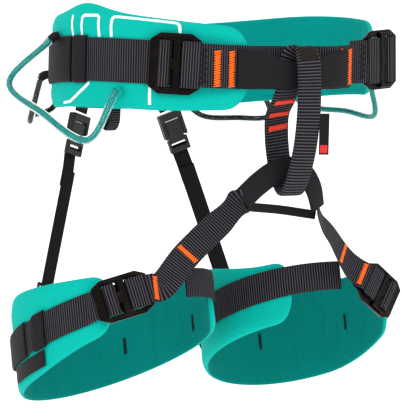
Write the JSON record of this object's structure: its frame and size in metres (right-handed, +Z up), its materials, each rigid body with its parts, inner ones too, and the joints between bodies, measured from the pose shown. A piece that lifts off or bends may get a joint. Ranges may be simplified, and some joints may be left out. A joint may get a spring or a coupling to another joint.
{
  "type": "climbing harness",
  "caption": "Adjustable sit harness: padded waist belt, padded leg loops, slide buckles, belay loop, tie-in loops, clear-tubed gear loops and elastic rear straps with release buckles.",
  "frame": {"origin": "centre of the wearer's waist opening, at the mid height of the waist webbing", "axes": "+X the wearer's left, -Y the wearer's front, +Z up"},
  "size_m": [0.3931, 0.2829, 0.3616],
  "materials": {
    "black_cord": "braided black cord",
    "buckle": "black anodised",
    "clear_tube": "clear extruded tube",
    "foam": "closed-cell foam, charcoal",
    "label": "woven damask label, plain",
    "lining": "brushed knit lining, dark teal",
    "plastic": "grey moulded acetal",
    "shell": "woven polyester face fabric, teal",
    "smooth": "plain close-woven polyamide tape, near black",
    "teal_cord": "braided teal cord",
    "webbing": "tubular and flat ribbed polyamide webbing, near black"
  },
  "bodies": {
    "waist": {"waist_pad_shell": "shell", "waist_pad_foam": "foam", "waist_pad_lining": "lining", "right_waist_webbing": "webbing", "left_waist_webbing": "webbing", "back_waist_webbing": "webbing", "front_waist_webbing": "webbing", "right_waist_sleeve": "smooth", "left_waist_sleeve": "smooth", "upper_tie_in_loop": "smooth", "right_waist_buckle_frame": "buckle", "left_waist_buckle_frame": "buckle", "lower_tie_in": "smooth", "crotch_strap": "smooth", "haul_loop": "webbing", "right_socket_tab": "webbing", "right_buckle_socket": "plastic", "right_rear_strap": "webbing", "left_socket_tab": "webbing", "left_buckle_socket": "plastic", "left_rear_strap": "webbing"},
    "right_leg_loop": {"right_leg_pad_shell": "shell", "right_leg_pad_foam": "foam", "right_leg_pad_lining": "lining", "right_leg_band": "webbing", "right_leg_webbing": "webbing", "right_leg_sleeve": "smooth", "right_leg_riser": "webbing", "right_leg_buckle_frame": "buckle", "right_strap_slide": "plastic", "leg_label": "label"},
    "left_leg_loop": {"left_leg_pad_shell": "shell", "left_leg_pad_foam": "foam", "left_leg_pad_lining": "lining", "left_leg_band": "webbing", "left_leg_webbing": "webbing", "left_leg_sleeve": "smooth", "left_leg_riser": "webbing", "left_leg_buckle_frame": "buckle", "left_strap_slide": "plastic"},
    "right_waist_slider": {"right_waist_buckle_slider": "buckle"},
    "right_waist_keeper": {"right_waist_keeper": "smooth"},
    "left_waist_slider": {"left_waist_buckle_slider": "buckle"},
    "left_waist_keeper": {"left_waist_keeper": "smooth"},
    "right_leg_slider": {"right_leg_buckle_slider": "buckle"},
    "right_leg_keeper": {"right_leg_keeper": "smooth"},
    "left_leg_slider": {"left_leg_buckle_slider": "buckle"},
    "left_leg_keeper": {"left_leg_keeper": "smooth"},
    "right_rear_plug": {"right_buckle_plug": "plastic"},
    "left_rear_plug": {"left_buckle_plug": "plastic"},
    "right_front_gear_loop": {"right_front_gear_core": "teal_cord", "right_front_gear_tube": "clear_tube"},
    "left_front_gear_loop": {"left_front_gear_core": "teal_cord", "left_front_gear_tube": "clear_tube"},
    "right_rear_gear_loop": {"right_rear_gear_core": "black_cord", "right_rear_gear_tube": "clear_tube"},
    "left_rear_gear_loop": {"left_rear_gear_core": "black_cord", "left_rear_gear_tube": "clear_tube"},
    "belay_loop": {"belay_loop": "webbing"},
    "belay_label": {"belay_label": "label"}
  },
  "joints": [
    {"name": "right_leg_swing", "type": "hinge", "parent": "waist", "child": "right_leg_loop", "pos_m": [0, -0.113, -0.115], "axis": [-1, 0, 0], "range_deg": [-8, 20], "stiffness_Nm_per_rad": 5.5, "springref_deg": -0.86, "deforming": ["right_rear_strap"]},
    {"name": "left_leg_swing", "type": "hinge", "parent": "waist", "child": "left_leg_loop", "pos_m": [0, -0.113, -0.115], "axis": [-1, 0, 0], "range_deg": [-8, 20], "stiffness_Nm_per_rad": 5.5, "springref_deg": -0.86, "deforming": ["left_rear_strap"]},
    {"name": "right_waist_slider_tilt", "type": "hinge", "parent": "waist", "child": "right_waist_slider", "pos_m": [-0.10889, -0.09902, 0.00277], "axis": [0.0274, -0.0228, 0.9994], "range_deg": [0, 20]},
    {"name": "left_waist_slider_tilt", "type": "hinge", "parent": "waist", "child": "left_waist_slider", "pos_m": [0.10008, -0.1104, 0.00578], "axis": [0.0485, 0.012, -0.9988], "range_deg": [0, 20]},
    {"name": "right_leg_slider_tilt", "type": "hinge", "parent": "right_leg_loop", "child": "right_leg_slider", "pos_m": [-0.14482, -0.07945, -0.19714], "axis": [-0.1743, 0.3011, 0.9375], "range_deg": [0, 20]},
    {"name": "left_leg_slider_tilt", "type": "hinge", "parent": "left_leg_loop", "child": "left_leg_slider", "pos_m": [0.11936, -0.09454, -0.20044], "axis": [-0.5411, -0.1073, -0.8341], "range_deg": [0, 20]},
    {"name": "right_waist_keeper_slide", "type": "slide", "parent": "waist", "child": "right_waist_keeper", "axis": [0.1141, -0.9927, 0.0391], "range_m": [0, 0.008]},
    {"name": "left_waist_keeper_slide", "type": "slide", "parent": "waist", "child": "left_waist_keeper", "axis": [-0.0935, -0.9947, 0.0419], "range_m": [0, 0.008]},
    {"name": "right_leg_keeper_slide", "type": "slide", "parent": "right_leg_loop", "child": "right_leg_keeper", "axis": [0.1333, -0.8918, 0.4325], "range_m": [0, 0.006]},
    {"name": "left_leg_keeper_slide", "type": "slide", "parent": "left_leg_loop", "child": "left_leg_keeper", "axis": [-0.1333, -0.8918, 0.4325], "range_m": [0, 0.006]},
    {"name": "right_plug_release", "type": "slide", "parent": "waist", "child": "right_rear_plug", "axis": [-0.2543, -0.0742, -0.9643], "range_m": [0, 0.014]},
    {"name": "left_plug_release", "type": "slide", "parent": "waist", "child": "left_rear_plug", "axis": [0.3377, -0.1065, -0.9352], "range_m": [0, 0.014]},
    {"name": "right_front_gear_lift", "type": "hinge", "parent": "waist", "child": "right_front_gear_loop", "pos_m": [-0.15369, -0.01612, -0.00176], "axis": [-0.1312, 0.8975, 0.421], "range_deg": [0, 45]},
    {"name": "left_front_gear_lift", "type": "hinge", "parent": "waist", "child": "left_front_gear_loop", "pos_m": [0.14593, 0.02873, -0.01683], "axis": [0.2638, -0.9615, -0.0773], "range_deg": [0, 45]},
    {"name": "right_rear_gear_lift", "type": "hinge", "parent": "waist", "child": "right_rear_gear_loop", "pos_m": [-0.11493, 0.09323, -0.02547], "axis": [0.7266, 0.642, -0.2446], "range_deg": [0, 45]},
    {"name": "left_rear_gear_lift", "type": "hinge", "parent": "waist", "child": "left_rear_gear_loop", "pos_m": [0.09021, 0.11006, -0.03707], "axis": [0.8542, -0.5016, 0.1371], "range_deg": [0, 45]},
    {"name": "belay_loop_swivel", "type": "hinge", "parent": "waist", "child": "belay_loop", "pos_m": [0, -0.13, -0.045], "axis": [0, 0, 1], "range_deg": [-2, 2]},
    {"name": "belay_label_flap", "type": "hinge", "parent": "belay_loop", "child": "belay_label", "pos_m": [0.0139, -0.138, -0.057], "axis": [0, 0, 1], "range_deg": [-30, 30]}
  ]
}
